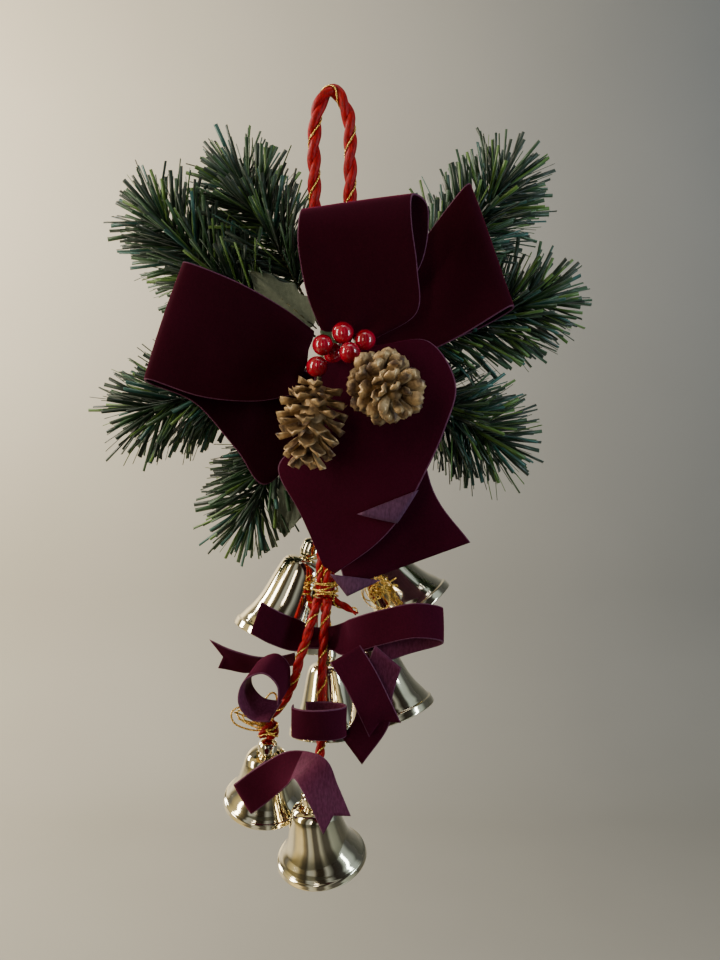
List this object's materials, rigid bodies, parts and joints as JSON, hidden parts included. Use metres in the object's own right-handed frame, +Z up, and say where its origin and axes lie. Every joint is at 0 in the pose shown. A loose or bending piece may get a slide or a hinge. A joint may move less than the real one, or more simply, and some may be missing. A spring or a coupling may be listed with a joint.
{
  "type": "sleigh bells",
  "caption": "Hanging sleigh bells: champagne bells with clappers on red cords under a burgundy velvet bow with pine sprigs, cones and berries.",
  "frame": {"origin": "inside of the crown of the red hanging loop, where the cluster hangs on a peg", "axes": "+Z up along the hanging cluster, +X to the right seen from the front, the bow's front faces -Y"},
  "size_m": [0.1532, 0.0758, 0.2508],
  "materials": {
    "velvet": "burgundy cotton velvet with a short pile, satin lilac back",
    "small_ribbon": "narrow burgundy velvet ribbon, paler back",
    "red_cord": "twisted rayon cord, bright red, soft sheen",
    "gold_thread": "metallised gold tinsel thread",
    "bell_metal": "bright champagne plating on thin stamped metal",
    "wire": "thin bright steel wire and bead",
    "pine": "cut PVC film needles, mixed greens",
    "holly": "stiffened grey-green silk leaf",
    "berry": "high-gloss crimson lacquer",
    "cone": "dried cone sprayed with matt gold",
    "floral_tape": "waxed green crepe tape"
  },
  "bodies": {
    "root": {"berry_1": "berry", "berry_2": "berry", "berry_3": "berry", "berry_4": "berry", "berry_5": "berry", "berry_6": "berry", "binding_wire": "wire", "bow_back_tail": "velvet", "bow_front_tail": "velvet", "bow_left_loop": "velvet", "bow_right_loop": "velvet", "bow_top_loop": "velvet", "cord_a": "red_cord", "cord_b": "red_cord", "cord_bundle": "red_cord", "cord_c": "red_cord", "cord_f": "red_cord", "floral_tape_core": "floral_tape", "gather_tie": "gold_thread", "hanging_loop": "red_cord", "holly_leaf_1": "holly", "holly_leaf_2": "holly", "holly_leaf_3": "holly", "pine_cone_left": "cone", "pine_cone_right": "cone", "pine_sprig_1": "pine", "pine_sprig_2": "pine", "pine_sprig_3": "pine", "pine_sprig_4": "pine", "pine_sprig_5": "pine", "pine_sprig_6": "pine", "pine_sprig_7": "pine", "ribbon_middle": "small_ribbon", "ribbon_middle_under": "small_ribbon", "ribbon_upper": "small_ribbon"},
    "strand_d": {"cord_d": "red_cord", "knot_d": "red_cord", "ribbon_d_ring": "small_ribbon", "ribbon_d_loop": "small_ribbon"},
    "strand_e": {"cord_e": "red_cord", "knot_e": "red_cord", "ribbon_e": "small_ribbon"},
    "bell_a": {"bell_a_shell": "bell_metal", "bell_a_knob": "bell_metal"},
    "clapper_a": {"bell_a_clapper": "wire"},
    "bell_b": {"bell_b_shell": "bell_metal", "bell_b_knob": "bell_metal"},
    "clapper_b": {"bell_b_clapper": "wire"},
    "bell_c": {"bell_c_shell": "bell_metal", "bell_c_knob": "bell_metal"},
    "clapper_c": {"bell_c_clapper": "wire"},
    "bell_d": {"bell_d_shell": "bell_metal", "bell_d_knob": "bell_metal"},
    "clapper_d": {"bell_d_clapper": "wire"},
    "bell_e": {"bell_e_shell": "bell_metal", "bell_e_knob": "bell_metal"},
    "clapper_e": {"bell_e_clapper": "wire"},
    "bell_f": {"bell_f_shell": "bell_metal", "bell_f_knob": "bell_metal"},
    "clapper_f": {"bell_f_clapper": "wire"}
  },
  "joints": [
    {"name": "strand_d_swing", "type": "hinge", "parent": "root", "child": "strand_d", "pos_m": [-0.0053, -0.0024, -0.1608], "axis": [0, 1, 0], "range_deg": [0, 12]},
    {"name": "strand_e_swing", "type": "hinge", "parent": "root", "child": "strand_e", "pos_m": [-0.0022, -0.0038, -0.1608], "axis": [0, -1, 0], "range_deg": [0, 8]},
    {"name": "bell_a_swing", "type": "hinge", "parent": "root", "child": "bell_a", "pos_m": [-0.00668, 0.0115, -0.14159], "axis": [0, 1, 0], "range_deg": [0, 20]},
    {"name": "bell_b_swing", "type": "hinge", "parent": "root", "child": "bell_b", "pos_m": [0.00494, 0.0125, -0.13933], "axis": [0, -1, 0], "range_deg": [0, 14]},
    {"name": "bell_c_swing", "type": "hinge", "parent": "root", "child": "bell_c", "pos_m": [0.00692, -0.0035, -0.16582], "axis": [0, -1, 0], "range_deg": [0, 14]},
    {"name": "bell_d_swing", "type": "hinge", "parent": "strand_d", "child": "bell_d", "pos_m": [-0.02099, -0.00508, -0.20434], "axis": [0, 1, 0], "range_deg": [0, 14]},
    {"name": "bell_e_swing", "type": "hinge", "parent": "strand_e", "child": "bell_e", "pos_m": [-0.00705, -0.01845, -0.2165], "axis": [0, -1, 0], "range_deg": [0, 18]},
    {"name": "bell_f_swing", "type": "hinge", "parent": "root", "child": "bell_f", "pos_m": [-0.003, 0.0195, -0.17768], "axis": [1, 0, 0], "range_deg": [0, 22]},
    {"name": "clapper_a_swing", "type": "hinge", "parent": "bell_a", "child": "clapper_a", "pos_m": [-0.01105, 0.0115, -0.15288], "axis": [0, -1, 0], "range_deg": [-36, 0]},
    {"name": "clapper_b_swing", "type": "hinge", "parent": "bell_b", "child": "clapper_b", "pos_m": [0.01222, 0.0125, -0.14849], "axis": [0, 1, 0], "range_deg": [-36, 0]},
    {"name": "clapper_c_swing", "type": "hinge", "parent": "bell_c", "child": "clapper_c", "pos_m": [0.01077, -0.0035, -0.17646], "axis": [0, 1, 0], "range_deg": [-36, 0]},
    {"name": "clapper_d_swing", "type": "hinge", "parent": "bell_d", "child": "clapper_d", "pos_m": [-0.02168, -0.00127, -0.21214], "axis": [-0.9839, -0.1789, 0], "range_deg": [-36, 0]},
    {"name": "clapper_e_swing", "type": "hinge", "parent": "bell_e", "child": "clapper_e", "pos_m": [-0.00595, -0.01479, -0.2248], "axis": [-0.9578, 0.2873, 0], "range_deg": [-36, 0]},
    {"name": "clapper_f_swing", "type": "hinge", "parent": "bell_f", "child": "clapper_f", "pos_m": [-0.003, 0.0195, -0.18822], "axis": [1, 0, 0], "range_deg": [-18, 18]}
  ]
}
